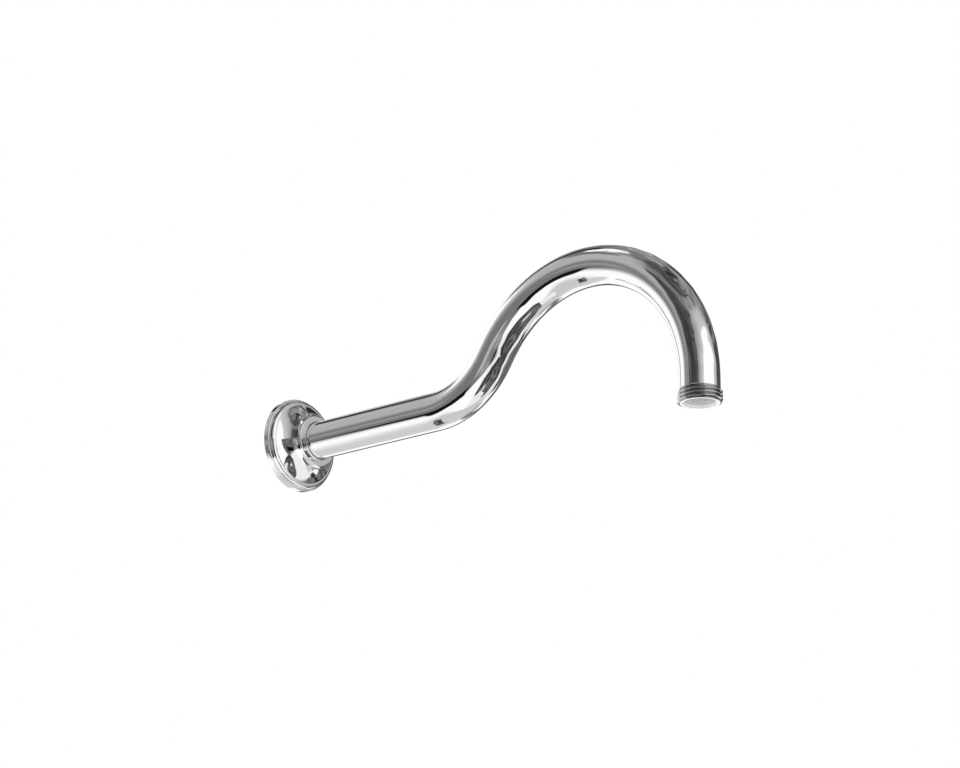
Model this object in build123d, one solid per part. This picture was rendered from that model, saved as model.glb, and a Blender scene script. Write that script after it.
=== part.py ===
from build123d import *

import os

# Swan-neck wall shower arm with a slip-on cover flange, in millimetres.
# The wall face is the plane X = 0. The arm leaves it along +X and lies in the XZ plane, with +Z up.
# Its inlet thread reaches behind the wall face, and its outlet points straight down.

# Arm tube
tube_od = 19.0
tube_wall = 1.5
tube_start = 2.0
wall_run = 95.0
rise_radius = 43.0
rise_angle = 56.0
rise_run = 6.0
crook_radius = 66.0
outlet_run = 7.1

# Pipe thread of both nipples, G 1/2
thread_od = 20.955
thread_pitch = 1.814
thread_depth_ratio = 0.6403
relief_width = 0.6
runout_width = 0.6
end_chamfer = 0.5
mouth_countersink = 1.0

# Threaded nipples, brazed into the ends of the tube
spigot_wall = 0.95
braze_gap = 0.05
spigot_lead = 0.4
inlet_spigot_length = 8.0
inlet_projection = 11.0
outlet_thread_length = 6.6
outlet_spigot_end_gap = 0.5

# Cover flange, stations along the arm from the wall face
rim_od = 47.4
rim_width = 3.1
quirk_width = 0.3
quirk_depth = 1.0
bead_radius = 2.1
bead_inset = 0.8
dome_step = 0.4
dome_height = 8.5
dome_waist_rise = 0.465
dome_waist_drop = 0.915
collar_width = 1.1
lip_length = 1.0
lip_wall = 0.45
rim_wall = 2.0
dome_wall = 2.6
neck_length = 6.0
edge_round = 0.5
lip_round = 0.2

# Fit of the flange on the arm
slip_clearance = 0.25
collar_wall = 0.7
o_ring_section = 2.62
o_ring_clearance = 0.05
gland_side_room = 0.2
gland_front_wall = 1.6

# Sizes that follow from those above
tube_r = tube_od / 2
bore_r = tube_r - tube_wall
crook_angle = rise_angle + 90.0
thread_r = thread_od / 2
root_r = thread_r - thread_depth_ratio * thread_pitch
spigot_r = bore_r - braze_gap
nipple_bore_r = spigot_r - spigot_wall
inlet_thread_length = tube_start + inlet_projection
outlet_spigot_length = outlet_run - outlet_spigot_end_gap

flange_bore_r = tube_r + slip_clearance
lip_r = flange_bore_r + lip_wall
o_ring_r = tube_r + o_ring_clearance + o_ring_section / 2
gland_r = o_ring_r + o_ring_section / 2 + o_ring_clearance
gland_width = o_ring_section + 2 * gland_side_room
collar_r = gland_r + collar_wall
rim_r = rim_od / 2
quirk_r = rim_r - quirk_depth
bead_r = rim_r - bead_inset
dome_base_r = bead_r - bead_radius - dome_step
quirk_end = rim_width + quirk_width
bead_end = quirk_end + bead_radius
dome_end = bead_end + dome_height
collar_end = dome_end + collar_width
flange_height = collar_end + lip_length
gland_front = collar_end - gland_front_wall
gland_back = gland_front - gland_width
neck_back = collar_end - neck_length


def arm_route() -> Wire:
    """Centreline of the tube: a run, the rise, a short run, the crook and the outlet run."""
    start_run = Line((tube_start, 0), (wall_run, 0))
    rise = JernArc(start_run @ 1, start_run % 1, rise_radius, rise_angle)
    middle_run = Line(rise @ 1, rise @ 1 + (rise % 1) * rise_run)
    crook = JernArc(middle_run @ 1, middle_run % 1, crook_radius, -crook_angle)
    end_run = Line(crook @ 1, crook @ 1 + (crook % 1) * outlet_run)
    return Plane.XZ * Wire([start_run, rise, middle_run, crook, end_run])


def bent_tube(route: Wire) -> Part:
    """Tube of constant wall, bent along the route."""
    section = Plane(origin=route @ 0, z_dir=route % 0) * (Circle(tube_r) - Circle(bore_r))
    return sweep(section, path=route)


def nipple(thread_length: float, spigot_length: float) -> Part:
    """Turned nipple with its shoulder at Z = 0, its spigot along +Z and its thread along -Z."""
    outline = Polyline(
        (nipple_bore_r, mouth_countersink - thread_length),
        (nipple_bore_r + mouth_countersink, -thread_length),
        (root_r, -thread_length),
        (thread_r, end_chamfer - thread_length),
        (thread_r, -relief_width - runout_width),
        (root_r, -relief_width),
        (root_r, 0),
        (spigot_r, 0),
        (spigot_r, spigot_length - spigot_lead),
        (spigot_r - spigot_lead, spigot_length),
        (nipple_bore_r, spigot_length),
        close=True,
    )
    return revolve(Plane.XZ * make_face(outline), Axis.Z)


def cover_flange() -> Part:
    """Hollow turned flange: rim, quirk, bead, bell-shaped dome, collar and lip, with the ring's gland."""
    dome_foot = Vector(bead_end, dome_base_r)
    dome_top = Vector(dome_end, collar_r)
    waist_x = bead_end + dome_waist_rise * dome_height
    waist_r = dome_base_r - dome_waist_drop * (dome_base_r - collar_r)
    dome_chord = dome_top - dome_foot
    outward = Vector(-dome_chord.Y, dome_chord.X).normalized()
    cavity_foot = dome_foot - outward * dome_wall
    cavity_top = dome_top - outward * dome_wall
    cavity_r = rim_r - rim_wall
    cavity_slope = (cavity_top.Y - cavity_foot.Y) / (cavity_top.X - cavity_foot.X)
    neck_root_r = cavity_foot.Y + cavity_slope * (neck_back - cavity_foot.X)
    cavity_step = cavity_foot.X + (cavity_r - cavity_foot.Y) / cavity_slope
    outline = [
        Polyline(
            (0, rim_r),
            (rim_width, rim_r),
            (rim_width, quirk_r),
            (quirk_end, quirk_r),
            (quirk_end, bead_r),
        ),
        RadiusArc((quirk_end, bead_r), (bead_end, bead_r - bead_radius), bead_radius),
        Line((bead_end, bead_r - bead_radius), dome_foot),
        Bezier(dome_foot, (waist_x, waist_r), dome_top),
        Polyline(
            dome_top,
            (collar_end, collar_r),
            (collar_end, lip_r),
            (flange_height, lip_r),
            (flange_height, flange_bore_r),
            (gland_front, flange_bore_r),
            (gland_front, gland_r),
            (gland_back, gland_r),
            (gland_back, flange_bore_r),
            (neck_back, flange_bore_r),
            (neck_back, neck_root_r),
            (cavity_step, cavity_r),
            (0, cavity_r),
            (0, rim_r),
        ),
    ]
    profile = make_face(outline)
    soft_corners = {
        (rim_width, rim_r): edge_round,
        (collar_end, collar_r): edge_round,
        (flange_height, lip_r): lip_round,
        (flange_height, flange_bore_r): lip_round,
    }
    for corner, radius in soft_corners.items():
        profile = fillet(profile.vertices().sort_by_distance(corner)[0], radius)
    return revolve(Plane.XZ * profile, Axis.X)


def grip_ring() -> Part:
    """Rubber ring that sits in the flange's gland and grips the tube."""
    middle = (gland_front + gland_back) / 2
    return Pos(middle, 0, 0) * Rot(0, 90, 0) * Torus(o_ring_r, o_ring_section / 2)


route = arm_route()
outlet_seat = Plane(origin=route @ 1, x_dir=(1, 0, 0), z_dir=-(route % 1))
inlet_seat = Plane(origin=route @ 0, x_dir=(0, 0, 1), z_dir=route % 0)

nodes = {
    "arm_tube": bent_tube(route),
    "inlet_nipple": inlet_seat * nipple(inlet_thread_length, inlet_spigot_length),
    "outlet_nipple": outlet_seat * nipple(outlet_thread_length, outlet_spigot_length),
    "wall_flange": cover_flange(),
    "flange_o_ring": grip_ring(),
}

os.makedirs("parts", exist_ok=True)
for name, solid in nodes.items():
    export_step(solid, f"parts/{name}.step")
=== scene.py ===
"""Swan-neck wall shower arm in bright chrome, dressed for its studio picture.

The wall face is the plane X = 0. The arm leaves it along +X in the XZ plane, with +Z up.
Lengths are in metres, and the named sizes are written in millimetres times MM.
"""

import logging
import math
from dataclasses import dataclass, field
from enum import Enum
from typing import Callable, Mapping, Sequence, Union

import bpy
import numpy as np
from mathutils import Euler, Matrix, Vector


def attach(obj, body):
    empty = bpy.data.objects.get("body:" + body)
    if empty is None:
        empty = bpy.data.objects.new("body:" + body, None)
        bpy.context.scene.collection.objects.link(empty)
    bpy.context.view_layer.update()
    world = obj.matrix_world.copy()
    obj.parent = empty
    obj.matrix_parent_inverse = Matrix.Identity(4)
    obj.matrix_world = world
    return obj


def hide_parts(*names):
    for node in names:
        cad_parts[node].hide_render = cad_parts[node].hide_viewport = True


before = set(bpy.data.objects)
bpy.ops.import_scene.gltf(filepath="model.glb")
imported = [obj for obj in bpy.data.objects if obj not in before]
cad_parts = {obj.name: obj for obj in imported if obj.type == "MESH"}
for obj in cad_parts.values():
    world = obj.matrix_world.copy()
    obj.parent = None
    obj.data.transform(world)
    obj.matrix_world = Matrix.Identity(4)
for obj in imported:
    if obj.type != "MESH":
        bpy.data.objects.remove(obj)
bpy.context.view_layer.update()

MM = 0.001
PHOTO_WIDTH = 960
SENSOR_WIDTH = 36.0
WHITE = (1.0, 1.0, 1.0, 1.0)
METAL = 1.0
NO_METAL = 0.0
FULL_TURN = 2.0 * math.pi
DEGREES = math.degrees(1.0)
QUARTER_SAG = 1.0 - math.sqrt(0.5)
TOE_TONE = 0.04045
TOE_SLOPE = 12.92
TONE_OFFSET = 0.055
TONE_POWER = 2.4
log = logging.getLogger("shower_arm")

Colour = tuple[float, float, float]
Point = tuple[float, float, float]


def linear(tone: float) -> float:
    """Turn a display grey, 0 black to 1 white, into a linear light level.

    Args:
        tone: Grey as it should look in the picture.

    Returns:
        The light level that shows as that grey.
    """
    if tone <= TOE_TONE:
        return tone / TOE_SLOPE
    return ((tone + TONE_OFFSET) / (1.0 + TONE_OFFSET)) ** TONE_POWER


def grey(tone: float) -> Colour:
    """Colour of a display grey."""
    return (linear(tone),) * 3


class Course(Enum):
    """How a fade runs between its two ends."""

    SMOOTH = "SMOOTHSTEP"
    EVEN = "LINEAR"


class Detail(Enum):
    """Octaves of finer lumps in a noise."""

    PLAIN = 1.0
    FINE = 2.0
    MIXED = 3.0
    RICH = 4.0


class Heading(Enum):
    """Way that a piece points in the XZ plane, in degrees above +X."""

    ROOM = 0.0
    WALL = 180.0
    DOWN = -90.0


class Signal:
    """A number that varies over a surface or the sky: one output socket with arithmetic."""

    def __init__(self, graph: "Graph", socket: bpy.types.NodeSocket) -> None:
        """Wrap one output socket of a graph."""
        self.graph = graph
        self.socket = socket

    def math(self, operation: str, *others: "Number") -> "Signal":
        """Add a Math node with this number as its first input.

        Args:
            operation: Name of the Math node's operation.
            others: Further inputs, as numbers or signals.

        Returns:
            The node's result.
        """
        return self.graph.maths(operation, self, *others)

    def __add__(self, other: "Number") -> "Signal":
        """Sum."""
        return self.math("ADD", other)

    __radd__ = __add__

    def __sub__(self, other: "Number") -> "Signal":
        """Difference."""
        return self.math("SUBTRACT", other)

    def __rsub__(self, other: "Number") -> "Signal":
        """Difference from a plain number."""
        return self.graph.maths("SUBTRACT", other, self)

    def __mul__(self, other: "Number") -> "Signal":
        """Product."""
        return self.math("MULTIPLY", other)

    __rmul__ = __mul__

    def __abs__(self) -> "Signal":
        """Size without its sign."""
        return self.math("ABSOLUTE")

    def fade(self, start: float, end: float, course: Course = Course.SMOOTH) -> "Signal":
        """Run from 1 to 0.

        Args:
            start: Value up to which the result is 1.
            end: Value from which the result is 0.
            course: How it runs between them.

        Returns:
            The faded mask.
        """
        limits = {"From Min": start, "From Max": end, "To Min": 1.0, "To Max": 0.0}
        settings = {"interpolation_type": course.value}
        node = self.graph.node("ShaderNodeMapRange", settings, {"Value": self, **limits})
        return Signal(self.graph, node.outputs["Result"])

    def edge(self, place: float, soft: float) -> "Signal":
        """Soft edge of some width: 1 before its place and 0 past it."""
        return self.fade(place - soft / 2.0, place + soft / 2.0)


Number = Union[float, Signal]
Feed = Union[float, Sequence[float], Signal, bpy.types.NodeSocket]


class Graph:
    """Node tree of one material or of the world."""

    TRUE_HEIGHT = {"Strength": 1.0, "Distance": 1.0}

    def __init__(self, tree: bpy.types.NodeTree) -> None:
        """Start from an empty tree."""
        self.tree = tree
        tree.nodes.clear()

    def node(
        self, kind: str, settings: Mapping[str, object], feeds: Mapping[Union[str, int], Feed]
    ) -> bpy.types.Node:
        """Add a node, set it up, then feed its sockets.

        Args:
            kind: Blender's type name of the node.
            settings: Attributes of the node, set first.
            feeds: Value or link for each socket, by name or number.

        Returns:
            The new node.
        """
        made = self.tree.nodes.new(kind)
        for name, value in settings.items():
            setattr(made, name, value)
        for key, value in feeds.items():
            socket = made.inputs[key]
            source = value.socket if isinstance(value, Signal) else value
            if isinstance(source, bpy.types.NodeSocket):
                self.tree.links.new(source, socket)
            else:
                socket.default_value = source
        return made

    def maths(self, operation: str, *terms: Number) -> Signal:
        """Add a Math node.

        Args:
            operation: Name of its operation.
            terms: Its inputs in order, as numbers or signals.

        Returns:
            The node's result.
        """
        made = self.node("ShaderNodeMath", {"operation": operation}, dict(enumerate(terms)))
        return Signal(self, made.outputs[0])

    def vector(self, operation: str, *terms: Feed) -> bpy.types.NodeSocket:
        """Add a Vector Math node that gives a vector."""
        feeds = dict(enumerate(terms))
        return self.node("ShaderNodeVectorMath", {"operation": operation}, feeds).outputs["Vector"]

    def measure(self, operation: str, *terms: Feed) -> Signal:
        """Add a Vector Math node that gives a number."""
        made = self.node("ShaderNodeVectorMath", {"operation": operation}, dict(enumerate(terms)))
        return Signal(self, made.outputs["Value"])

    def mixed(self, share: Number, first: Feed, second: Feed) -> bpy.types.NodeSocket:
        """Mix two colours.

        Args:
            share: Share of the second colour.
            first: Colour at share 0.
            second: Colour at share 1.

        Returns:
            The mixed colour's socket.
        """
        colours = {"A": first, "B": second}
        made = self.node("ShaderNodeMix", {"data_type": "RGBA"}, {"Factor": share})
        for key, value in colours.items():
            socket = next(s for s in made.inputs if s.name == key and s.type == "RGBA")
            if isinstance(value, bpy.types.NodeSocket):
                self.tree.links.new(value, socket)
            else:
                socket.default_value = (*value, 1.0)
        return next(s for s in made.outputs if s.type == "RGBA")

    def noise(self, place: Feed, detail: Detail, scale: float = 1.0) -> Signal:
        """Add smooth noise from 0 to 1.

        Args:
            place: Where the noise is read.
            detail: How fine it is.
            scale: Lumps per unit of that place.

        Returns:
            The noise.
        """
        feeds = {"Vector": place, "Scale": scale, "Detail": detail.value}
        return Signal(self, self.node("ShaderNodeTexNoise", {}, feeds).outputs["Fac"])

    def place(self) -> bpy.types.NodeSocket:
        """Position on the piece at rest, in metres."""
        return self.node("ShaderNodeTexCoord", {}, {}).outputs["Object"]

    def parts(self, vector: Feed) -> tuple[Signal, Signal, Signal]:
        """The three components of a vector."""
        made = self.node("ShaderNodeSeparateXYZ", {}, {"Vector": vector})
        return tuple(Signal(self, socket) for socket in made.outputs)

    def background(self, colour: Feed, strength: float) -> bpy.types.NodeSocket:
        """Light that comes from all round."""
        feeds = {"Color": colour, "Strength": strength}
        return self.node("ShaderNodeBackground", {}, feeds).outputs["Background"]

    def blend(self, share: Feed, first: Feed, second: Feed) -> bpy.types.NodeSocket:
        """Mix two shaders by the share of the second."""
        return self.node("ShaderNodeMixShader", {}, {0: share, 1: first, 2: second}).outputs["Shader"]

    def output(self, surface: Feed) -> None:
        """End a material with its surface."""
        self.node("ShaderNodeOutputMaterial", {}, {"Surface": surface})

    def coat(self, colour: Feed, metallic: float, roughness: Signal, height: Signal) -> None:
        """End a material with a solid coat.

        Args:
            colour: Its base colour.
            metallic: How far it is bare metal.
            roughness: Its roughness.
            height: Height of its fine relief in metres.
        """
        bump = self.node("ShaderNodeBump", {}, {**self.TRUE_HEIGHT, "Height": height})
        feeds = {"Base Color": colour, "Metallic": metallic, "Roughness": roughness}
        coat = self.node("ShaderNodeBsdfPrincipled", {}, {**feeds, "Normal": bump.outputs["Normal"]})
        self.output(coat.outputs["BSDF"])


def new_material(name: str) -> tuple[bpy.types.Material, Graph]:
    """Make an empty node material.

    Args:
        name: Name of the material.

    Returns:
        The material and its graph.
    """
    material = bpy.data.materials.new(name)
    material.use_nodes = True
    return material, Graph(material.node_tree)


@dataclass(frozen=True)
class Axis:
    """Axis of a turned piece, from its seat in the XZ plane, level or plumb."""

    seat: tuple[float, float]
    heading: Heading

    @property
    def point(self) -> Point:
        """Place of the seat."""
        x, z = self.seat
        return (x, 0.0, z)

    @property
    def along(self) -> Point:
        """Share of each direction of the frame that runs along the axis."""
        level = float(abs(round(math.cos(math.radians(self.heading.value)))))
        return (level, 0.0, 1.0 - level)

    @property
    def across(self) -> Point:
        """Share of each direction that is square to the axis."""
        return tuple(1.0 - share for share in self.along)

    def distance(self, graph: Graph, place: Feed) -> Signal:
        """Distance of a place along the axis."""
        return graph.measure("DOT_PRODUCT", graph.vector("SUBTRACT", place, self.point), self.along)

    def radius(self, graph: Graph, place: Feed) -> Signal:
        """Distance of a place from the axis."""
        way = graph.vector("SUBTRACT", place, self.point)
        return graph.measure("LENGTH", graph.vector("MULTIPLY", way, self.across))


@dataclass(frozen=True)
class ChromePlate:
    """Bright chrome over polished metal: a mirror with a trace of haze and polishing waviness."""

    name: str = "bright_chrome"
    pale: Colour = (0.885, 0.890, 0.895)
    deep: Colour = (0.855, 0.860, 0.868)
    mirror_roughness: float = 0.012
    haze_roughness: float = 0.02
    haze_scale: float = 70.0
    wave_scale: float = 160.0
    wave_height: float = 3.0e-6
    scratch_stretch: Point = (40.0, 2600.0, 2600.0)
    scratch_height: float = 4.0e-8

    def material(self) -> bpy.types.Material:
        """Make the plated finish.

        Returns:
            Its material.
        """
        material, graph = new_material(self.name)
        place = graph.place()
        haze = graph.noise(place, Detail.MIXED, self.haze_scale)
        waves = graph.noise(place, Detail.PLAIN, self.wave_scale)
        scratches = graph.noise(graph.vector("MULTIPLY", place, self.scratch_stretch), Detail.FINE)
        roughness = self.mirror_roughness + self.haze_roughness * haze
        height = waves * self.wave_height + scratches * self.scratch_height
        graph.coat(graph.mixed(haze, self.pale, self.deep), METAL, roughness, height)
        return material


@dataclass(frozen=True)
class TurnedPlate:
    """Thin dull plate over metal left as it was turned: pale satin, with fine rings round its axis."""

    name: str
    axis: Axis
    pale: Colour = (0.80, 0.80, 0.795)
    deep: Colour = (0.64, 0.635, 0.62)
    metallic: float = 0.45
    fine_roughness: float = 0.22
    coarse_roughness: float = 0.2
    ring_scale: float = 5200.0
    ring_height: float = 3.0e-6
    stain_scale: float = 180.0

    def material(self) -> bpy.types.Material:
        """Make the turned finish.

        Returns:
            Its material.
        """
        material, graph = new_material(self.name)
        place = graph.place()
        section = {"X": self.axis.radius(graph, place), "Y": self.axis.distance(graph, place)}
        turned = graph.node("ShaderNodeCombineXYZ", {}, section).outputs["Vector"]
        rings = graph.noise(turned, Detail.PLAIN, self.ring_scale)
        stain = graph.noise(place, Detail.RICH, self.stain_scale)
        colour = graph.mixed(stain, self.pale, self.deep)
        roughness = self.fine_roughness + self.coarse_roughness * stain * rings
        graph.coat(colour, self.metallic, roughness, rings * self.ring_height)
        return material


@dataclass(frozen=True)
class ThreadPlate:
    """Chrome on a cut thread: bright on the end face, duller on the crests, with painted shade in the
    roots.
    """

    name: str
    axis: Axis
    root_radius: float
    crest_radius: float
    face: Colour = (0.88, 0.885, 0.89)
    crest: Colour = (0.64, 0.643, 0.646)
    # Painted shade: the darker colour that the thread roots take.
    root: Colour = (0.36, 0.36, 0.355)
    crest_roughness: float = 0.025
    root_roughness: float = 0.12
    face_margin: float = 0.08 * MM
    drag_scale: float = 2400.0
    drag_height: float = 5.0e-7
    least_drag: float = 0.6
    drag_spread: float = 0.8

    def material(self) -> bpy.types.Material:
        """Make the thread's finish.

        Returns:
            Its material.
        """
        material, graph = new_material(self.name)
        place = graph.place()
        radius = self.axis.radius(graph, place)
        face_edge = self.root_radius - self.face_margin
        end_face = radius.fade(face_edge - self.face_margin, face_edge)
        # Painted shade: this mask darkens the colour towards the thread roots, where shade falls; it
        # also makes the roots rougher.
        root_depth_and_shade = radius.fade(self.root_radius, self.crest_radius) * (1.0 - end_face)
        drag = graph.noise(place, Detail.FINE, self.drag_scale)
        spread = self.root_roughness - self.crest_roughness
        torn = self.least_drag + self.drag_spread * drag
        thread = graph.mixed(root_depth_and_shade, self.crest, self.root)
        colour = graph.mixed(end_face, thread, self.face)
        roughness = self.crest_roughness + spread * root_depth_and_shade * torn
        graph.coat(colour, METAL, roughness, drag * self.drag_height)
        return material


@dataclass(frozen=True)
class BlackRubber:
    """Moulded rubber: near black, matt, with a fine dry bloom."""

    name: str = "moulded_rubber"
    body: Colour = (0.012, 0.012, 0.013)
    bloom: Colour = (0.045, 0.045, 0.047)
    smooth_roughness: float = 0.48
    bloom_roughness: float = 0.3
    bloom_scale: float = 420.0
    grain_scale: float = 6000.0
    grain_height: float = 6.0e-6

    def material(self) -> bpy.types.Material:
        """Make the rubber finish.

        Returns:
            Its material.
        """
        material, graph = new_material(self.name)
        place = graph.place()
        bloom = graph.noise(place, Detail.RICH, self.bloom_scale)
        grain = graph.noise(place, Detail.FINE, self.grain_scale)
        colour = graph.mixed(bloom, self.body, self.bloom)
        roughness = self.smooth_roughness + self.bloom_roughness * bloom
        graph.coat(colour, NO_METAL, roughness, grain * self.grain_height)
        return material


class Zone(Enum):
    """Which finish a stretch of a piece takes, as the number of its material slot."""

    SHOWN = 0
    HIDDEN = 1


@dataclass(frozen=True)
class Leg:
    """One leg of a centreline: a straight run, or an arc that turns up or down."""

    length: float
    turn: float = 0.0


@dataclass(frozen=True)
class Route:
    """Centreline in the XZ plane, by distance from its start."""

    start: tuple[float, float]
    heading: Heading
    legs: tuple[Leg, ...]

    def frames(self, along: np.ndarray) -> tuple[np.ndarray, np.ndarray]:
        """Find points on the centreline and the upward side there.

        Args:
            along: Distances from the start. Those past an end go on as its leg does.

        Returns:
            The points, and the unit vectors square to the centreline in its plane.
        """
        points = np.zeros((len(along), 3))
        sides = np.zeros((len(along), 3))
        x, z = self.start
        heading = math.radians(self.heading.value)
        begin = 0.0
        for number, leg in enumerate(self.legs):
            first = number == 0
            last = number == len(self.legs) - 1
            inside = ((along >= begin) | first) & ((along <= begin + leg.length) | last)
            step = np.append(along - begin, leg.length)
            bend = math.radians(leg.turn) / leg.length
            angle = heading + bend * step
            if leg.turn:
                px = x + (np.sin(angle) - math.sin(heading)) / bend
                pz = z + (math.cos(heading) - np.cos(angle)) / bend
            else:
                px = x + step * math.cos(heading)
                pz = z + step * math.sin(heading)
            points[inside, 0] = px[:-1][inside]
            points[inside, 2] = pz[:-1][inside]
            sides[inside, 0] = -np.sin(angle[:-1])[inside]
            sides[inside, 2] = np.cos(angle[:-1])[inside]
            x, z, heading = px[-1], pz[-1], angle[-1]
            begin += leg.length
        return points, sides


@dataclass(frozen=True)
class Corner:
    """Next corner of a turned outline, and the stretch that leads to it.

    The stretch is straight, an arc that stands proud of its chord by its bulge, to the left of
    its way, or a curve that is drawn towards its waist.
    """

    along: float
    radius: float
    bulge: float = 0.0
    waist: Union[tuple[float, float], None] = None
    ease: float = 0.0
    steps: int = 1
    zone: Zone = Zone.SHOWN

    @property
    def place(self) -> np.ndarray:
        """Distance along and radius as a vector."""
        return np.array([self.along, self.radius])


def bend(start: np.ndarray, middle: np.ndarray, end: np.ndarray, share: float) -> tuple[float, float]:
    """Find a point on a curve that leaves and enters along the lines to its middle point.

    Args:
        start: Where the curve starts.
        middle: Point that it is drawn towards.
        end: Where it ends.
        share: Share of the way.

    Returns:
        Distance along and radius.
    """
    rest = 1.0 - share
    return tuple(rest**2 * start + 2.0 * share * rest * middle + share**2 * end)


class Outline:
    """Closed outline of a turned or drawn piece, in distance along its axis and radius."""

    EASE_STEPS = 6

    def __init__(self, corners: Sequence[Corner]) -> None:
        """Sample the corners' stretches, with eased corners.

        Args:
            corners: Corners in order. The last one joins the first.
        """
        self.points: list[tuple[float, float]] = []
        self.zones: list[Zone] = []
        for number, corner in enumerate(corners):
            before = corners[number - 1]
            after = corners[(number + 1) % len(corners)]
            self._stretch(before, corner)
            if corner.ease:
                self._ease(before, corner, after)

    @staticmethod
    def _on(first: Corner, second: Corner, share: float) -> tuple[float, float]:
        """Point on the stretch between two corners.

        Args:
            first: Corner where the stretch starts.
            second: Corner where it ends, which holds its bulge or waist.
            share: Share of its length.

        Returns:
            Distance along and radius.
        """
        origin = first.place
        run = second.place - origin
        if second.waist:
            return bend(origin, np.array(second.waist), origin + run, share)
        if not second.bulge:
            return tuple(origin + share * run)
        chord = math.hypot(*run)
        left = np.array([-run[1], run[0]]) / chord
        half = 2.0 * math.atan2(2.0 * second.bulge, chord)
        arc_radius = chord / 2.0 / math.sin(half)
        angle = half * (2.0 * share - 1.0)
        forward = chord / 2.0 + arc_radius * math.sin(angle)
        proud = arc_radius * (math.cos(angle) - math.cos(half))
        return tuple(origin + run / chord * forward + left * proud)

    @staticmethod
    def _share(ease: float, first: Corner, second: Corner) -> float:
        """Share of a stretch that an easing of some length takes up."""
        return ease / math.hypot(*(second.place - first.place))

    def _add(self, point: tuple[float, float], zone: Zone) -> None:
        """Add one point of the outline."""
        self.points.append(point)
        self.zones.append(zone)

    def _stretch(self, before: Corner, corner: Corner) -> None:
        """Add the stretch that leads to a corner, less what the easings take.

        Args:
            before: Corner where the stretch starts.
            corner: Corner where it ends.
        """
        begin = self._share(before.ease, before, corner)
        end = 1.0 - self._share(corner.ease, before, corner)
        for step in range(1, corner.steps + 1):
            share = begin + (end - begin) * step / corner.steps
            self._add(self._on(before, corner, share), corner.zone)

    def _ease(self, before: Corner, corner: Corner, after: Corner) -> None:
        """Round a corner between its two stretches.

        Args:
            before: Corner before it.
            corner: The corner to round.
            after: Corner after it.
        """
        enter = np.array(self._on(before, corner, 1.0 - self._share(corner.ease, before, corner)))
        leave = np.array(self._on(corner, after, self._share(corner.ease, corner, after)))
        for step in range(1, self.EASE_STEPS + 1):
            self._add(bend(enter, corner.place, leave, step / self.EASE_STEPS), corner.zone)


Relief = Callable[[np.ndarray, np.ndarray, np.ndarray], np.ndarray]


def add_object(name: str, data: bpy.types.ID) -> bpy.types.Object:
    """Make an object of a mesh, light or camera and put it in the scene.

    Args:
        name: Name of the object.
        data: What it shows.

    Returns:
        The object.
    """
    made = bpy.data.objects.new(name, data)
    bpy.context.scene.collection.objects.link(made)
    return made


@dataclass
class SpunMesh:
    """Outline carried round a centreline, with an optional relief on its radius."""

    name: str
    outline: Outline
    route: Route
    around: int
    relief: Union[Relief, None] = None
    crease: float = 35.0

    def build(self, materials: Sequence[bpy.types.Material]) -> bpy.types.Object:
        """Make the closed mesh object.

        Args:
            materials: Materials of the shown and the hidden zone.

        Returns:
            The object, in the frame of the arm.
        """
        rows = np.array(self.outline.points)
        turn = np.arange(self.around) * FULL_TURN / self.around
        along, angle = np.meshgrid(rows[:, 0], turn, indexing="ij")
        radius = np.repeat(rows[:, 1:], self.around, axis=1)
        if self.relief:
            radius = self.relief(along, angle, radius)
        points, sides = self.route.frames(rows[:, 0])
        up = (radius * np.cos(angle))[..., None] * sides[:, None, :]
        across = (radius * np.sin(angle))[..., None] * np.array([0.0, -1.0, 0.0])
        corners = (points[:, None, :] + up + across).reshape(-1, 3)
        mesh = bpy.data.meshes.new(self.name)
        mesh.from_pydata(corners.tolist(), [], self._faces(rows))
        zones = np.repeat([zone.value for zone in self.outline.zones], self.around)
        mesh.polygons.foreach_set("material_index", np.roll(zones, -self.around).astype(np.int32))
        mesh.shade_smooth()
        mesh.set_sharp_from_angle(angle=math.radians(self.crease))
        for material in materials:
            mesh.materials.append(material)
        return add_object(self.name, mesh)

    def _faces(self, rows: np.ndarray) -> list[list[int]]:
        """Join neighbouring rows by four-sided faces that look outwards.

        Args:
            rows: Outline points.

        Returns:
            Corner numbers of each face.
        """
        grid = np.arange(len(rows) * self.around).reshape(len(rows), self.around)
        beside = np.roll(grid, -1, axis=1)
        sides = [grid, beside, np.roll(beside, -1, axis=0), np.roll(grid, -1, axis=0)]
        corners = np.stack(sides, axis=-1).reshape(-1, len(sides))
        ahead = np.roll(rows, -1, axis=0)
        area = np.sum(rows[:, 0] * ahead[:, 1] - ahead[:, 0] * rows[:, 1])
        if area > 0:
            corners = corners[:, ::-1]
        return corners.tolist()


@dataclass
class PipeThread:
    """Parallel pipe thread, right-handed, with round crests and roots."""

    crest_radius: float = 10.4775 * MM
    pitch: float = 1.814 * MM
    depth_ratio: float = 0.6403
    tip_ratio: float = 0.137329
    half_angle: float = 27.5

    @property
    def root_radius(self) -> float:
        """Radius at the bottom of the thread."""
        return self.crest_radius - self.depth_ratio * self.pitch

    def radius(self, along: np.ndarray, angle: np.ndarray, lead: float) -> np.ndarray:
        """Find the thread's radius.

        Args:
            along: Distances along the axis.
            angle: Angles round it.
            lead: Distance along the axis of a crest at angle zero.

        Returns:
            The radius at each place.
        """
        turns = (along - lead) / self.pitch - angle / FULL_TURN
        off = np.abs(turns - np.round(turns)) * self.pitch
        tip = self.tip_ratio * self.pitch
        reach = tip * math.cos(math.radians(self.half_angle))
        slope = 1.0 / math.tan(math.radians(self.half_angle))
        back = self.pitch / 2.0 - off
        crest = self.crest_radius - tip + np.sqrt(np.maximum(tip**2 - off**2, 0.0))
        root = self.root_radius + tip - np.sqrt(np.maximum(tip**2 - back**2, 0.0))
        shoulder = self.crest_radius - tip + math.sqrt(tip**2 - reach**2)
        flank = shoulder - slope * (off - reach)
        return np.where(off < reach, crest, np.where(back < reach, root, flank))


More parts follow.
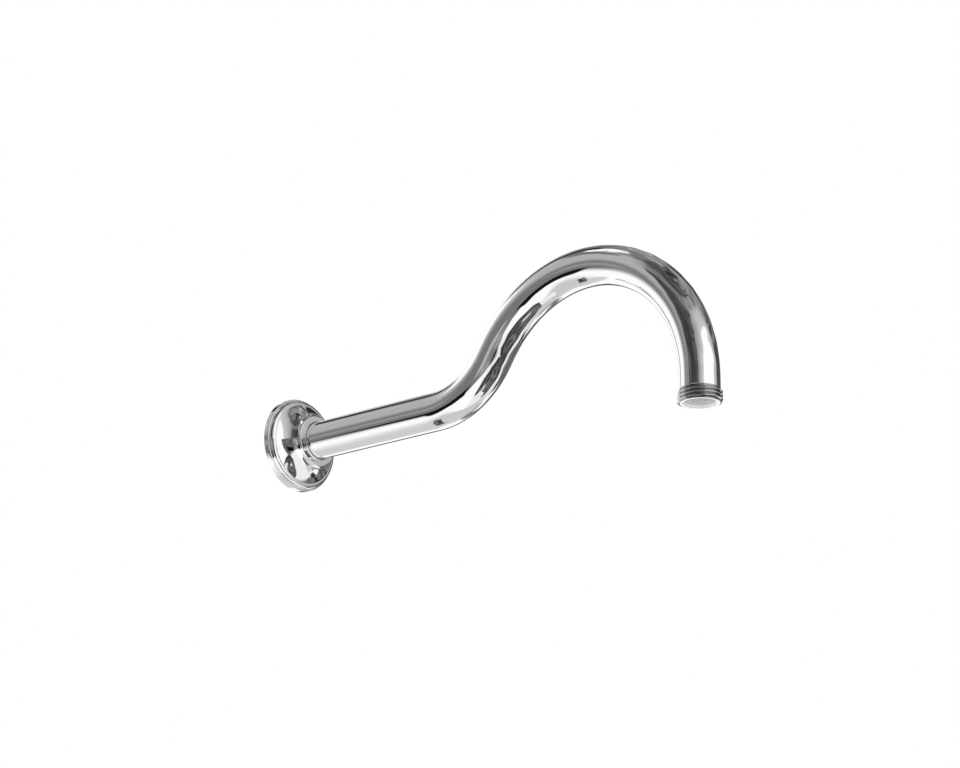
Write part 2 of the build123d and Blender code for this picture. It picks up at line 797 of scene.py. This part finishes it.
@dataclass
class BentTube:
    """Drawn tube, bent into a rise and a crook, with the faint ripples that bending leaves."""

    CROOK_LEG = 3

    outer_radius: float = 9.5 * MM
    bore_radius: float = 8.0 * MM
    start: float = 2.0 * MM
    wall_run: float = 95.0 * MM
    rise_radius: float = 43.0 * MM
    rise_angle: float = 56.0
    rise_run: float = 6.0 * MM
    crook_radius: float = 66.0 * MM
    outlet_drop: float = 90.0
    outlet_run: float = 7.1 * MM
    lip: float = 0.25 * MM
    step: float = 0.6 * MM
    bore_step: float = 2.4 * MM
    around: int = 112
    ripple_length: float = 12.0 * MM
    ripple_turns: int = 5
    cross_ripple: float = 1.3
    ripple_fade: int = 4
    rise_ripple: float = 0.03 * MM
    rise_ripple_reach: float = 52.0 * MM
    crook_ripple: float = 0.07 * MM
    crook_ripple_reach: float = 56.0 * MM
    crook_ripple_angle: float = 104.0
    streak_length: float = 30.0 * MM
    streak_turns: int = 13
    crook_streak: float = 0.06 * MM
    streak_level: float = 0.6
    streak_swing: float = 0.4
    streak_drift: float = 2.0

    @property
    def legs(self) -> tuple[Leg, ...]:
        """Legs of the centreline.

        Returns:
            The legs from the wall end to the outlet.
        """
        crook_angle = self.rise_angle + self.outlet_drop
        return (
            Leg(self.wall_run - self.start),
            Leg(self.rise_radius * math.radians(self.rise_angle), self.rise_angle),
            Leg(self.rise_run),
            Leg(self.crook_radius * math.radians(crook_angle), -crook_angle),
            Leg(self.outlet_run),
        )

    @property
    def route(self) -> Route:
        """Centreline of the tube."""
        return Route((self.start, 0.0), Heading.ROOM, self.legs)

    @property
    def length(self) -> float:
        """Length of the tube along its centreline."""
        return sum(leg.length for leg in self.legs)

    @property
    def outlet(self) -> tuple[float, float]:
        """Place of the tube's lower end, as X and Z."""
        end, _ = self.route.frames(np.array([self.length]))
        return float(end[0, 0]), float(end[0, 2])

    def ripples(self, along: np.ndarray, angle: np.ndarray, radius: np.ndarray) -> np.ndarray:
        """Add the ripples under the rise and on the crook's back, and the crook's long streaks.

        Args:
            along: Distances along the tube.
            angle: Angles round it, from the upper side.
            radius: Plain radius.

        Returns:
            The rippled radius.
        """
        crook_begin = sum(leg.length for leg in self.legs[: self.CROOK_LEG])
        crook_back = crook_begin + self.crook_radius * math.radians(self.crook_ripple_angle)
        below = np.clip((along - crook_begin) / self.rise_ripple_reach, -1.0, 1.0)
        above = np.clip((along - crook_back) / self.crook_ripple_reach, -1.0, 1.0)
        under = (1.0 - below**self.ripple_fade) * np.clip(-np.cos(angle), 0.0, 1.0)
        back = (1.0 - above**self.ripple_fade) * np.clip(np.cos(angle), 0.0, 1.0)
        turns = FULL_TURN * along / self.ripple_length
        wave = np.sin(turns + self.ripple_turns * angle)
        wave += np.sin(self.cross_ripple * turns - (self.ripple_turns - 1) * angle)
        streaks = np.sin(FULL_TURN * along / self.streak_length + self.streak_turns * angle)
        streaks *= self.streak_level + self.streak_swing * np.sin(turns - self.streak_drift * angle)
        relief = (self.rise_ripple * under + self.crook_ripple * back) * wave / 2.0
        relief += self.crook_streak * back * streaks
        outer = radius > (self.outer_radius + self.bore_radius) / 2.0
        return radius + np.where(outer, relief, 0.0)

    def build(self, finishes: Sequence[bpy.types.Material]) -> bpy.types.Object:
        """Make the tube, hollow from end to end.

        Args:
            finishes: Finish of the outside and of the bore.

        Returns:
            The tube.
        """
        length, outer, bore, lip = self.length, self.outer_radius, self.bore_radius, self.lip
        rows, bore_rows = round(length / self.step), round(length / self.bore_step)
        outline = Outline(
            [
                Corner(0.0, outer, ease=lip),
                Corner(length, outer, ease=lip, steps=rows),
                Corner(length, bore, ease=lip),
                Corner(0.0, bore, ease=lip, steps=bore_rows, zone=Zone.HIDDEN),
            ]
        )
        piece = SpunMesh("bent_tube", outline, self.route, self.around, self.ripples).build(finishes)
        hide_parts("arm_tube")
        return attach(piece, "arm")


@dataclass
class ThreadedNipple:
    """Turned nipple: a spigot brazed into the tube, a relief and a pipe thread."""

    name: str
    node: str
    axis: Axis
    thread_length: float
    spigot_length: float
    lead: float = 1.6 * MM
    thread: PipeThread = field(default_factory=PipeThread)
    spigot_radius: float = 7.95 * MM
    bore_radius: float = 7.0 * MM
    relief_width: float = 0.6 * MM
    runout_width: float = 0.6 * MM
    end_chamfer: float = 0.5 * MM
    spigot_lead: float = 0.4 * MM
    countersink: float = 1.0 * MM
    ease: float = 0.12 * MM
    step: float = 0.055 * MM
    around: int = 144

    @property
    def finish(self) -> ThreadPlate:
        """Finish of the thread, set round this nipple's axis."""
        thread = self.thread
        return ThreadPlate(f"{self.name}_plate", self.axis, thread.root_radius, thread.crest_radius)

    def cut(self, along: np.ndarray, angle: np.ndarray, radius: np.ndarray) -> np.ndarray:
        """Cut the thread into the blank.

        Args:
            along: Distances from the shoulder towards the thread's end.
            angle: Angles round the axis.
            radius: Radius of the blank.

        Returns:
            The radius of the threaded nipple.
        """
        cutter = self.thread.radius(along, angle, self.lead)
        threaded = radius > self.thread.root_radius - self.ease
        return np.where(threaded, np.minimum(radius, cutter), radius)

    def build(self, bore_finish: bpy.types.Material) -> bpy.types.Object:
        """Make the nipple.

        Args:
            bore_finish: Finish of the waterway and the spigot.

        Returns:
            The nipple.
        """
        root, crest = self.thread.root_radius, self.thread.crest_radius
        runout_end = self.relief_width + self.runout_width
        rows = round((self.thread_length - runout_end - self.end_chamfer) / self.step)
        spigot, bore, ease, hidden = self.spigot_radius, self.bore_radius, self.ease, Zone.HIDDEN
        spigot_end, end = -self.spigot_length, self.thread_length
        outline = Outline(
            [
                Corner(spigot_end, spigot - self.spigot_lead, zone=hidden),
                Corner(spigot_end + self.spigot_lead, spigot, zone=hidden),
                Corner(0.0, spigot, zone=hidden),
                Corner(0.0, root, ease=ease),
                Corner(self.relief_width, root, steps=4),
                Corner(runout_end, crest, steps=12),
                Corner(end - self.end_chamfer, crest, steps=rows),
                Corner(end, root, ease=ease, steps=10),
                Corner(end, bore + self.countersink, ease=ease, steps=3),
                Corner(end - self.countersink, bore, ease=ease, steps=4, zone=hidden),
                Corner(spigot_end, bore, steps=12, zone=hidden),
            ]
        )
        route = Route(self.axis.seat, self.axis.heading, (Leg(self.thread_length),))
        mesh = SpunMesh(self.name, outline, route, self.around, self.cut)
        piece = mesh.build((self.finish.material(), bore_finish))
        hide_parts(self.node)
        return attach(piece, "arm")


@dataclass
class CoverFlange:
    """Hollow turned flange: rim, quirk, bead, bell-shaped dome, collar, lip and the ring's gland."""

    bore_radius: float = 9.75 * MM
    lip_radius: float = 10.2 * MM
    gland_radius: float = 12.22 * MM
    gland_front: float = 13.5 * MM
    gland_width: float = 3.02 * MM
    collar_radius: float = 12.92 * MM
    rim_radius: float = 23.7 * MM
    rim_width: float = 3.1 * MM
    quirk_width: float = 0.3 * MM
    quirk_depth: float = 1.0 * MM
    bead_radius: float = 2.1 * MM
    bead_inset: float = 0.8 * MM
    dome_step: float = 0.4 * MM
    dome_height: float = 8.5 * MM
    dome_waist_rise: float = 0.465
    dome_waist_drop: float = 0.915
    collar_width: float = 1.1 * MM
    lip_length: float = 1.0 * MM
    rim_wall: float = 2.0 * MM
    dome_wall: float = 2.6 * MM
    neck_length: float = 6.0 * MM
    edge_ease: float = 0.5 * MM
    lip_ease: float = 0.2 * MM
    fine_ease: float = 0.12 * MM
    around: int = 224

    def build(self, finishes: Sequence[bpy.types.Material]) -> bpy.types.Object:
        """Make the flange.

        Args:
            finishes: Finish of the outside and of the hollow back.

        Returns:
            The flange.
        """
        quirk_end = self.rim_width + self.quirk_width
        bead_end = quirk_end + self.bead_radius
        bead_top = self.rim_radius - self.bead_inset
        bead_foot = bead_top - self.bead_radius
        dome_foot = bead_foot - self.dome_step
        dome_end = bead_end + self.dome_height
        collar_end = dome_end + self.collar_width
        height = collar_end + self.lip_length
        dome_waist = (
            bead_end + self.dome_waist_rise * self.dome_height,
            dome_foot - self.dome_waist_drop * (dome_foot - self.collar_radius),
        )
        bead_bulge = self.bead_radius * QUARTER_SAG
        slope = (self.collar_radius - dome_foot) / self.dome_height
        sink = self.dome_wall * math.hypot(1.0, slope)
        neck_back = collar_end - self.neck_length
        cavity_radius = self.rim_radius - self.rim_wall
        neck_root = dome_foot - sink + slope * (neck_back - bead_end)
        cavity_step = bead_end + (cavity_radius - dome_foot + sink) / slope
        gland_back = self.gland_front - self.gland_width
        quirk_radius = self.rim_radius - self.quirk_depth
        rim, collar, lip, bore = self.rim_radius, self.collar_radius, self.lip_radius, self.bore_radius
        gland_front, gland = self.gland_front, self.gland_radius
        fine, edge, soft, hidden = self.fine_ease, self.edge_ease, self.lip_ease, Zone.HIDDEN
        outline = Outline(
            [
                Corner(0.0, rim, ease=fine),
                Corner(self.rim_width, rim, ease=edge, steps=6),
                Corner(self.rim_width, quirk_radius, ease=fine, steps=3),
                Corner(quirk_end, quirk_radius, ease=fine, steps=2),
                Corner(quirk_end, bead_top, ease=fine),
                Corner(bead_end, bead_foot, bulge=bead_bulge, ease=fine, steps=24),
                Corner(bead_end, dome_foot, ease=fine),
                Corner(dome_end, collar, waist=dome_waist, ease=fine, steps=48),
                Corner(collar_end, collar, ease=edge, steps=3),
                Corner(collar_end, lip, ease=fine, steps=6),
                Corner(height, lip, ease=soft, steps=3),
                Corner(height, bore, ease=soft),
                Corner(gland_front, bore, ease=fine, steps=3, zone=hidden),
                Corner(gland_front, gland, ease=fine, zone=hidden),
                Corner(gland_back, gland, ease=fine, zone=hidden),
                Corner(gland_back, bore, ease=fine, zone=hidden),
                Corner(neck_back, bore, ease=fine, zone=hidden),
                Corner(neck_back, neck_root, ease=edge, steps=3, zone=hidden),
                Corner(cavity_step, cavity_radius, ease=edge, steps=8, zone=hidden),
                Corner(0.0, cavity_radius, ease=fine, steps=2, zone=hidden),
            ]
        )
        axis = Route((0.0, 0.0), Heading.ROOM, (Leg(height),))
        piece = SpunMesh("turned_flange", outline, axis, self.around).build(finishes)
        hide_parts("wall_flange")
        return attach(piece, "flange")


@dataclass
class GripRing:
    """Rubber ring in the flange's gland, shown as its own solid."""

    node: str = "flange_o_ring"
    finish: BlackRubber = field(default_factory=BlackRubber)

    def dress(self) -> bpy.types.Object:
        """Give the ring its rubber finish.

        Returns:
            The ring.
        """
        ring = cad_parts[self.node]
        ring.data.materials.clear()
        ring.data.materials.append(self.finish.material())
        return ring


class Sky:
    """Direction of a ray that leaves the scene, as bearing and elevation in degrees."""

    STREAK_WANDER = (2.2, 2.2, 0.0)
    STREAK_FINENESS = 0.32
    STREAK_LIMITS = (0.62, 0.38)

    def __init__(self, graph: Graph) -> None:
        """Read the direction from the world's coordinates.

        Args:
            graph: Graph of the world.
        """
        self.graph = graph
        self.direction = graph.node("ShaderNodeTexCoord", {}, {}).outputs["Generated"]
        self.x, self.y, z = graph.parts(self.direction)
        self.elevation = z.math("ARCSINE") * DEGREES
        level = graph.node("ShaderNodeCombineXYZ", {}, {"Z": self.elevation * self.STREAK_FINENESS})
        wander = graph.vector("MULTIPLY", self.direction, self.STREAK_WANDER)
        place = graph.vector("ADD", wander, level.outputs["Vector"])
        self.streaks = graph.noise(place, Detail.FINE).fade(*self.STREAK_LIMITS)

    def bearing(self, middle: float) -> Signal:
        """Bearing from a middle direction.

        Args:
            middle: Bearing of the middle, anticlockwise from +X.

        Returns:
            The angle from it, -180 to 180.
        """
        cosine, sine = math.cos(math.radians(middle)), math.sin(math.radians(middle))
        across = self.y * cosine - self.x * sine
        ahead = self.x * cosine + self.y * sine
        return across.math("ARCTAN2", ahead) * DEGREES

    def angle_from(self, bearing: float, elevation: float) -> Signal:
        """Angle between the ray and a direction.

        Args:
            bearing: Bearing of that direction.
            elevation: Its elevation.

        Returns:
            The angle in degrees.
        """
        a, e = math.radians(bearing), math.radians(elevation)
        towards = (math.cos(a) * math.cos(e), math.sin(a) * math.cos(e), math.sin(e))
        cosine = self.graph.measure("DOT_PRODUCT", self.direction, towards)
        return cosine.math("ARCCOSINE") * DEGREES


@dataclass(frozen=True)
class Panel:
    """Soft-edged card or opening of the studio, by where it stands as seen from the arm."""

    bearing: float
    half_width: float
    low: float
    high: float
    tone: float
    soft: float = 6.0
    streaks: float = 0.0
    lean: float = 0.0

    def paint(self, sky: Sky, behind: Feed) -> bpy.types.NodeSocket:
        """Paint the panel over what is behind it.

        Args:
            sky: Directions of the world.
            behind: Colour behind the panel.

        Returns:
            The colour with the panel.
        """
        middle = (self.low + self.high) / 2.0
        half_height = (self.high - self.low) / 2.0
        bearing = sky.bearing(self.bearing)
        rise = sky.elevation - middle
        if self.lean:
            rise = rise - bearing * self.lean
        across = abs(bearing).edge(self.half_width, self.soft)
        upright = abs(rise).edge(half_height, self.soft)
        colour: Feed = grey(self.tone)
        if self.streaks:
            dark, light = grey(self.tone - self.streaks), grey(self.tone + self.streaks)
            colour = sky.graph.mixed(sky.streaks, dark, light)
        return sky.graph.mixed(across * upright, behind, colour)


@dataclass(frozen=True)
class RoundLamp:
    """Round softbox with a bright face and the glow round it."""

    bearing: float
    elevation: float
    face: float
    glow: float
    face_tone: float
    inner_tone: float
    outer_tone: float
    face_edge: float = 3.0
    glow_edge: float = 8.0

    def paint(self, sky: Sky, behind: Feed) -> bpy.types.NodeSocket:
        """Paint the lamp over what is behind it.

        Args:
            sky: Directions of the world.
            behind: Colour behind the lamp.

        Returns:
            The colour with the lamp.
        """
        graph = sky.graph
        angle = sky.angle_from(self.bearing, self.elevation)
        nearness = angle.fade(self.face, self.glow, Course.EVEN)
        halo = graph.mixed(nearness, grey(self.outer_tone), grey(self.inner_tone))
        reach = angle.edge(self.glow, self.glow_edge)
        face = angle.edge(self.face, self.face_edge)
        return graph.mixed(face, graph.mixed(reach, behind, halo), grey(self.face_tone))


@dataclass
class Studio:
    """White sweep, one round softbox and dark cards, as a bright metal shows them."""

    base_tone: float = 0.47
    backdrop_level: float = 1.0
    fill_level: float = 0.85
    metal_level: float = 1.12
    layers: Mapping[str, Union[Panel, RoundLamp]] = field(
        default_factory=lambda: {
            "softbox": RoundLamp(1.5, 10.5, 31.0, 66.0, 1.0, 0.81, 0.46),
            "softbox foot": Panel(1.5, 31.5, -22.0, 14.0, 1.0, 3.0),
            "dark ceiling": Panel(-72.0, 52.0, 57.0, 92.0, 0.29, 8.0, streaks=0.08),
            "front ceiling": Panel(25.0, 48.0, 58.0, 79.0, 0.36, 9.0, streaks=0.22),
            "ceiling slot": Panel(10.0, 55.0, 76.0, 83.0, 0.2, 3.0, streaks=0.07),
            "ceiling beams": Panel(110.0, 40.0, 46.0, 86.0, 0.53, 8.0, streaks=0.2),
            "white sweep": Panel(171.0, 56.0, -95.0, 38.0, 1.0, 5.0),
            "sweep glow": Panel(-160.0, 32.0, 37.0, 50.0, 0.71, 5.0),
            "flag edge": Panel(147.0, 14.0, 36.0, 62.0, 0.45, 8.0, streaks=0.1),
            "top flag": Panel(166.5, 9.5, 35.0, 62.0, 0.13, 4.0, streaks=0.06),
            "left grey wall": Panel(-118.0, 28.0, -20.0, 57.0, 0.46, 20.0),
            "wall top": Panel(-131.0, 18.0, 20.0, 62.0, 0.69, 18.0),
            "wall ledge": Panel(-130.0, 7.0, -2.0, 9.0, 0.57, 6.0),
            "ceiling window": Panel(-164.0, 17.0, 57.0, 72.0, 1.0, 4.0),
            "window sill": Panel(-145.0, 18.0, 49.0, 56.5, 0.42, 4.0),
            "left dark side": Panel(-87.2, 27.3, 12.0, 45.0, 0.3, 2.5, streaks=0.06),
            "left dark core": Panel(-90.0, 10.0, 16.0, 33.0, 0.23, 5.0),
            "right dark card": Panel(78.0, 21.5, 8.0, 28.0, 0.28, 2.5),
            "right far card": Panel(80.0, 27.0, 28.0, 46.0, 0.38, 5.0, streaks=0.12),
            "far card corner": Panel(98.0, 10.0, 34.0, 49.0, 0.17, 4.0),
            "sweep shade": Panel(126.0, 13.0, -12.0, 37.0, 0.3, 6.0),
            "sweep seam": Panel(174.0, 3.0, -18.0, 6.0, 0.66, 3.0),
            "white table": Panel(-121.0, 63.0, -95.0, -31.0, 1.0, 3.0),
            "front table": Panel(15.0, 75.0, -95.0, -31.0, 0.94, 6.0),
            "grey table": Panel(150.0, 85.0, -95.0, -45.0, 0.79, 20.0),
            "table edge": Panel(160.0, 24.0, -52.0, -31.0, 0.81, 6.0),
            "right white card": Panel(95.0, 11.0, -37.0, -18.0, 1.0, 3.0),
            "black stand": Panel(-115.0, 18.5, -31.5, -16.0, 0.07, 3.0, lean=-0.25),
            "pale strip": Panel(-91.0, 6.5, -16.0, 4.0, 0.7, 4.0),
            "grey strip": Panel(-72.0, 12.0, -29.0, 10.0, 0.54, 4.0, streaks=0.12),
            "right grey strip": Panel(78.0, 8.0, -36.0, 6.0, 0.35, 4.0, streaks=0.12),
            "right rod": Panel(77.5, 2.0, -36.0, -6.0, 0.12, 2.0),
            "right grey edge": Panel(63.0, 4.0, -31.0, -19.0, 0.4, 4.0),
            "right grey wedge": Panel(97.0, 11.0, -18.0, 6.0, 0.38, 5.0, streaks=0.14),
            "camera stand": Panel(-45.5, 20.5, -27.0, 11.0, 0.36, 3.0, streaks=0.08),
            "camera": Panel(-45.5, 12.5, -25.5, -13.0, 0.05, 3.0, lean=0.45),
        }
    )

    def seen_in_metal(self, graph: Graph) -> Feed:
        """Paint what a mirror sees of the studio.

        Args:
            graph: Graph of the world.

        Returns:
            The colour's socket.
        """
        sky = Sky(graph)
        colour: Feed = grey(self.base_tone)
        for layer in self.layers.values():
            colour = layer.paint(sky, colour)
        return colour

    def build_world(self) -> None:
        """Set the world: white to the camera, the studio to bright metal, soft light to the rest."""
        world = bpy.data.worlds.new("studio")
        world.use_nodes = True
        world.cycles.sampling_method = "NONE"
        graph = Graph(world.node_tree)
        path = graph.node("ShaderNodeLightPath", {}, {}).outputs
        through = Signal(graph, path["Is Transmission Ray"])
        mirrored = Signal(graph, path["Is Glossy Ray"]).math("MAXIMUM", through)
        backdrop = graph.background(WHITE, self.backdrop_level)
        fill = graph.background(WHITE, self.fill_level)
        room = graph.background(self.seen_in_metal(graph), self.metal_level)
        lit = graph.blend(mirrored, fill, room)
        seen = graph.blend(path["Is Camera Ray"], lit, backdrop)
        graph.node("ShaderNodeOutputWorld", {}, {"Surface": seen})
        bpy.context.scene.world = world


def stage_sheet(name: str, corners: Sequence[Point], material: bpy.types.Material) -> bpy.types.Object:
    """Make a flat sheet of the studio, which isn't part of the arm.

    Args:
        name: Name of the sheet.
        corners: Its corners in order.
        material: Its finish.

    Returns:
        The sheet.
    """
    mesh = bpy.data.meshes.new(name)
    mesh.from_pydata(corners, [], [list(range(len(corners)))])
    mesh.materials.append(material)
    sheet = add_object(name, mesh)
    return sheet


@dataclass
class StudioSheet:
    """Flat sheet below the arm, which only mirrors see. Its own values are the dark cloth's."""

    name: str = "dark_cloth"
    outline: Sequence[tuple[float, float]] = (
        *((0.156, 0.0), (0.162, -0.05), (0.175, -0.085), (0.212, -0.115), (0.24, -0.148)),
        *((0.32, -0.155), (0.37, -0.11), (0.37, 0.12), (0.32, 0.15)),
        *((0.27, 0.15), (0.24, 0.13), (0.18, 0.085), (0.163, 0.05)),
    )
    level: float = -0.165
    tones: tuple[float, float] = (0.25, 0.5)
    fold_stretch: Point = (30.0, 30.0, 1.0)
    fold_limits: tuple[float, float] = (0.66, 0.36)
    # Middle of the paler folds: their paleness is painted light, and the darker rim round it is
    # painted shade.
    middle: tuple[float, float] = (0.26, 0.01)
    middle_radius: float = 0.13
    # Painted spot in the sheet's glow: a painted highlight on the cloth, a dark core on the bar.
    painted_spot: tuple[float, float] = (0.211, -0.02)
    painted_spot_radius: float = 0.02
    painted_spot_tone: float = 0.9
    core: float = 0.5

    def nearness(self, graph: Graph, point: tuple[float, float], radius: float) -> Signal:
        """Mask round a point of the sheet, which is 0 from the radius on."""
        away = graph.measure("DISTANCE", graph.place(), (*point, self.level))
        return away.fade(radius * self.core, radius)

    def finish(self) -> bpy.types.Material:
        """Make glowing cloth, as bright as it is painted: painted light on paler folds in its middle,
        painted shade on its darker rim and one painted spot.

        Returns:
            Its material.
        """
        material, graph = new_material(self.name)
        creases = graph.noise(graph.vector("MULTIPLY", graph.place(), self.fold_stretch), Detail.MIXED)
        # Painted light and shade: the folds show paler only near the middle, so the rim stays dark.
        inner = self.nearness(graph, self.middle, self.middle_radius)
        dark, light = self.tones
        cloth = graph.mixed(creases.fade(*self.fold_limits) * inner, grey(dark), grey(light))
        # Painted spot: a painted highlight on the cloth, a dark core on the bar.
        near = self.nearness(graph, self.painted_spot, self.painted_spot_radius)
        colour = graph.mixed(near, cloth, grey(self.painted_spot_tone))
        graph.output(graph.node("ShaderNodeEmission", {}, {"Color": colour}).outputs["Emission"])
        return material

    def build(self) -> bpy.types.Object:
        """Make the sheet.

        Returns:
            The sheet.
        """
        corners = [(x, y, self.level) for x, y in self.outline]
        sheet = stage_sheet(self.name, corners, self.finish())
        sheet.visible_camera = False
        sheet.visible_diffuse = False
        sheet.visible_shadow = False
        return sheet


@dataclass
class PaleFloor:
    """Pale floor under the arm, which runs out into the white backdrop."""

    name: str = "pale_floor"
    level: float = -0.8
    middle: tuple[float, float] = (0.13, 0.0)
    radius: float = 3.0
    clear_from: float = 0.7
    clear_to: float = 2.4
    tone: Colour = (0.9, 0.9, 0.895)
    sides: int = 64

    def finish(self) -> bpy.types.Material:
        """Make matt paper that catches the shadow and turns into plain white with distance.

        Returns:
            Its material.
        """
        material, graph = new_material(self.name)
        distance = graph.measure("DISTANCE", graph.place(), (*self.middle, self.level))
        paper = graph.node("ShaderNodeBsdfDiffuse", {}, {"Color": (*self.tone, 1.0)}).outputs["BSDF"]
        backdrop = graph.node("ShaderNodeEmission", {}, {"Color": WHITE}).outputs["Emission"]
        graph.output(graph.blend(distance.fade(self.clear_from, self.clear_to), backdrop, paper))
        return material

    def build(self) -> bpy.types.Object:
        """Make the floor.

        Returns:
            The floor.
        """
        x, y = self.middle
        turns = [FULL_TURN * side / self.sides for side in range(self.sides)]
        ways = [(self.radius * math.cos(turn), self.radius * math.sin(turn)) for turn in turns]
        edge = [(x + across, y + ahead, self.level) for across, ahead in ways]
        floor = stage_sheet(self.name, edge, self.finish())
        floor.visible_glossy = False
        return floor


def looking(way: Vector) -> Euler:
    """Rotation of a lamp or camera that looks along a direction."""
    return way.to_track_quat("-Z", "Y").to_euler()


@dataclass
class SoftLamp:
    """Large soft lamp over the arm, which lights what isn't mirror-bright."""

    name: str = "soft_lamp"
    place: Point = (0.5, -0.7, 1.4)
    aim: Point = (0.13, 0.0, 0.0)
    width: float = 1.4
    power: float = 9.0

    def build(self) -> bpy.types.Object:
        """Make the lamp.

        Returns:
            The lamp.
        """
        light = bpy.data.lights.new(self.name, "AREA")
        light.size = self.width
        light.energy = self.power
        lamp = add_object(self.name, light)
        lamp.location = self.place
        lamp.rotation_euler = looking(Vector(self.aim) - Vector(self.place))
        lamp.visible_glossy = False
        return lamp


@dataclass
class PhotoCamera:
    """Camera at the photograph's place, which looks slightly up at the arm."""

    name: str = "photo_camera"
    place: Point = (1.01537, -1.03842, -0.40990)
    azimuth: float = 40.67
    elevation: float = -17.0
    focal_pixels: float = 2954.34

    def build(self) -> bpy.types.Object:
        """Make the camera and look through it.

        Returns:
            The camera.
        """
        data = bpy.data.cameras.new(self.name)
        data.sensor_fit = "HORIZONTAL"
        data.sensor_width = SENSOR_WIDTH
        data.lens = self.focal_pixels * SENSOR_WIDTH / PHOTO_WIDTH
        camera = add_object(self.name, data)
        a, e = math.radians(self.azimuth), math.radians(self.elevation)
        back = Vector((math.sin(a) * math.cos(e), -math.cos(a) * math.cos(e), math.sin(e)))
        camera.location = self.place
        camera.rotation_euler = looking(-back)
        bpy.context.scene.camera = camera
        return camera


def main() -> None:
    """Build the arm piece by piece, then the studio and the camera."""
    logging.basicConfig(level=logging.INFO, format="%(name)s: %(message)s")
    chrome = ChromePlate().material()
    turned = TurnedPlate("turned_plate", Axis((0.0, 0.0), Heading.WALL)).material()
    tube = BentTube()
    inlet = Axis((tube.start, 0.0), Heading.WALL)
    outlet = Axis(tube.outlet, Heading.DOWN)
    pale_bore = TurnedPlate(
        "outlet_plate",
        outlet,
        pale=(0.93, 0.93, 0.925),
        deep=(0.86, 0.86, 0.85),
        metallic=0.05,
        ring_height=8.0e-7,
    )
    wall_nipple = ThreadedNipple(
        "wall_nipple", "inlet_nipple", inlet, thread_length=13.0 * MM, spigot_length=8.0 * MM
    )
    head_nipple = ThreadedNipple(
        "head_nipple", "outlet_nipple", outlet, thread_length=6.6 * MM, spigot_length=6.6 * MM
    )
    pieces = [
        tube.build((chrome, turned)),
        wall_nipple.build(turned),
        head_nipple.build(pale_bore.material()),
        CoverFlange().build((chrome, turned)),
        GripRing().dress(),
    ]
    for piece in pieces:
        log.info("%s: %d faces", piece.name, len(piece.data.polygons))
    Studio().build_world()
    bar = StudioSheet(
        "dark_bar",
        outline=((-0.034, -0.08), (0.01, -0.06), (0.01, 0.065), (-0.034, 0.065)),
        level=-0.195,
        tones=(0.34, 0.5),
        middle=(-0.012, 0.0),
        # The bar's painted spot is a dark core.
        painted_spot=(0.0, -0.005),
        painted_spot_tone=0.08,
    )
    prop = StudioSheet(
        "white_prop",
        outline=((0.138, -0.028), (0.165, -0.022), (0.165, 0.022), (0.138, 0.028)),
        level=-0.085,
        tones=(0.97, 1.0),
    )
    for fitting in (StudioSheet(), bar, prop, PaleFloor(), SoftLamp(), PhotoCamera()):
        log.info("%s set up", fitting.build().name)
    bpy.context.scene.view_settings.view_transform = "Standard"


if __name__ == "__main__":
    main()
